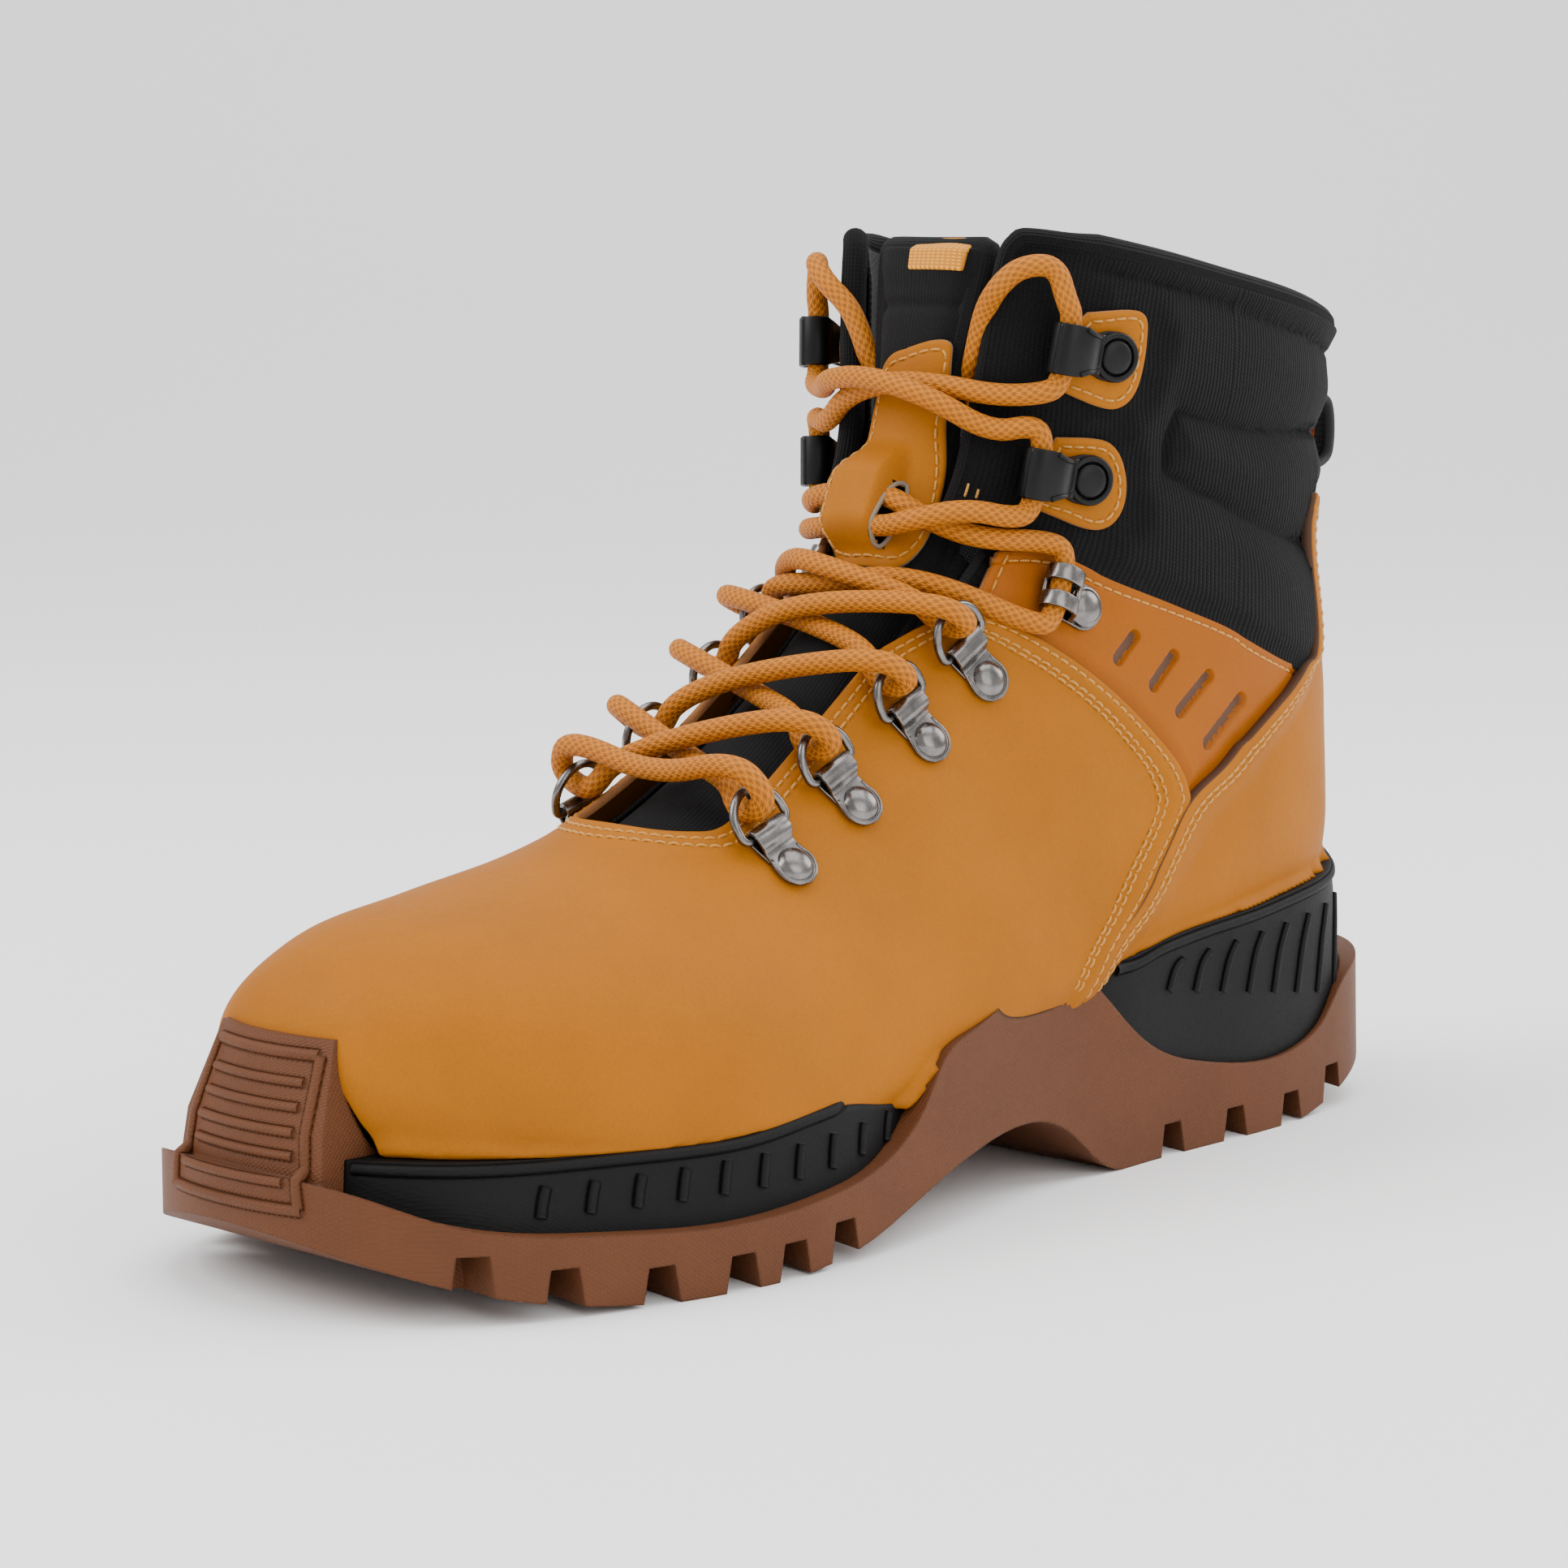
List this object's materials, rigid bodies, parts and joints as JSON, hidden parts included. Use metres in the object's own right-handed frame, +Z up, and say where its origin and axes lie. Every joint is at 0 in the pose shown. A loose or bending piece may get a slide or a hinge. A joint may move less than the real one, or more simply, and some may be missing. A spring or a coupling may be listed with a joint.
{
  "type": "steel toe work boot",
  "caption": "Left lace-up safety work boot with a steel toe cap, padded knit collar, D-rings and open lace hooks, and a lugged rubber outsole.",
  "frame": {"origin": "middle of the foot of the bounding box, on the ground the tread rests on", "axes": "+Z up, toe toward -Y, heel toward +Y, lateral (outer) side toward +X"},
  "size_m": [0.1152, 0.3147, 0.1969],
  "materials": {
    "nubuck": "nubuck, soft matte nap",
    "smooth_leather": "smooth semi-matte leather",
    "knit_cloth": "black ribbed knit",
    "lining_mesh": "black mesh cloth",
    "foam": "dark soft foam",
    "webbing": "black woven webbing",
    "orange_webbing": "orange woven tape",
    "sole_rubber": "matte textured brown rubber",
    "black_rubber": "matte textured black rubber",
    "gunmetal": "dark polished nickel",
    "black_metal": "black satin enamel",
    "cap_steel": "bare formed steel",
    "stiff_board": "stiff fibre board",
    "lace_cord": "golden braided cord",
    "aglet_plastic": "clear brown plastic tip"
  },
  "bodies": {
    "boot": {"ankle_panel_lateral": "smooth_leather", "ankle_panel_medial": "smooth_leather", "black_hook_lateral_lower": "black_metal", "black_hook_lateral_upper": "black_metal", "black_hook_medial_lower": "black_metal", "black_hook_medial_upper": "black_metal", "collar_lining": "lining_mesh", "collar_outer": "knit_cloth", "collar_padding": "foam", "collar_rim": "knit_cloth", "d_ring_clip_lateral_1": "gunmetal", "d_ring_clip_lateral_2": "gunmetal", "d_ring_clip_lateral_3": "gunmetal", "d_ring_clip_lateral_4": "gunmetal", "d_ring_clip_medial_1": "gunmetal", "d_ring_clip_medial_2": "gunmetal", "d_ring_clip_medial_3": "gunmetal", "d_ring_clip_medial_4": "gunmetal", "d_ring_rivets": "gunmetal", "heel_counter": "stiff_board", "heel_cup": "black_rubber", "heel_lining": "lining_mesh", "heel_panel": "nubuck", "heel_pull_loop": "webbing", "hook_patch_lateral_lower": "nubuck", "hook_patch_lateral_upper": "nubuck", "hook_patch_medial_lower": "nubuck", "hook_patch_medial_upper": "nubuck", "hook_rivets": "black_metal", "insole_board": "stiff_board", "lace": "lace_cord", "lace_aglets": "aglet_plastic", "midsole": "black_rubber", "outsole": "sole_rubber", "steel_hook_lateral": "gunmetal", "steel_hook_medial": "gunmetal", "steel_toe_cap": "cap_steel", "tongue_gusset_lateral": "knit_cloth", "tongue_gusset_medial": "knit_cloth", "tongue_lining": "lining_mesh", "tongue_outer": "knit_cloth", "tongue_padding": "foam", "tongue_patch": "nubuck", "tongue_tab": "orange_webbing", "vamp": "nubuck", "vamp_lining": "lining_mesh"},
    "ring_lateral_1": {"d_ring_lateral_1": "gunmetal"},
    "ring_lateral_2": {"d_ring_lateral_2": "gunmetal"},
    "ring_lateral_3": {"d_ring_lateral_3": "gunmetal"},
    "ring_lateral_4": {"d_ring_lateral_4": "gunmetal"},
    "ring_medial_1": {"d_ring_medial_1": "gunmetal"},
    "ring_medial_2": {"d_ring_medial_2": "gunmetal"},
    "ring_medial_3": {"d_ring_medial_3": "gunmetal"},
    "ring_medial_4": {"d_ring_medial_4": "gunmetal"},
    "insole": {"footbed": "foam"}
  },
  "joints": [
    {"name": "d_ring_lateral_1_hinge", "type": "hinge", "parent": "boot", "child": "ring_lateral_1", "pos_m": [0.02815, -0.04795, 0.08041], "axis": [0.0229, -0.9422, -0.3342], "range_deg": [-4, 4]},
    {"name": "d_ring_lateral_2_hinge", "type": "hinge", "parent": "boot", "child": "ring_lateral_2", "pos_m": [0.02734, -0.02846, 0.09052], "axis": [0.0204, -0.908, -0.4186], "range_deg": [-4, 4]},
    {"name": "d_ring_lateral_3_hinge", "type": "hinge", "parent": "boot", "child": "ring_lateral_3", "pos_m": [0.02779, -0.00786, 0.10168], "axis": [0.0246, -0.8933, -0.4488], "range_deg": [-4, 4]},
    {"name": "d_ring_lateral_4_hinge", "type": "hinge", "parent": "boot", "child": "ring_lateral_4", "pos_m": [0.02853, 0.00906, 0.11266], "axis": [-0.041, -0.8394, -0.5419], "range_deg": [-4, 4]},
    {"name": "d_ring_medial_1_hinge", "type": "hinge", "parent": "boot", "child": "ring_medial_1", "pos_m": [-0.02567, -0.04801, 0.08067], "axis": [0.0347, 0.9444, 0.327], "range_deg": [-4, 4]},
    {"name": "d_ring_medial_2_hinge", "type": "hinge", "parent": "boot", "child": "ring_medial_2", "pos_m": [-0.02493, -0.02856, 0.09069], "axis": [0.0148, 0.9057, 0.4237], "range_deg": [-4, 4]},
    {"name": "d_ring_medial_3_hinge", "type": "hinge", "parent": "boot", "child": "ring_medial_3", "pos_m": [-0.02577, -0.00799, 0.10173], "axis": [-0.0136, 0.8839, 0.4675], "range_deg": [-4, 4]},
    {"name": "d_ring_medial_4_hinge", "type": "hinge", "parent": "boot", "child": "ring_medial_4", "pos_m": [-0.02749, 0.00896, 0.11263], "axis": [-0.0857, 0.8274, 0.5551], "range_deg": [-4, 4]},
    {"name": "footbed_lift", "type": "hinge", "parent": "boot", "child": "insole", "pos_m": [0, -0.112, 0.03], "axis": [1, 0, 0], "range_deg": [0, 3]}
  ]
}
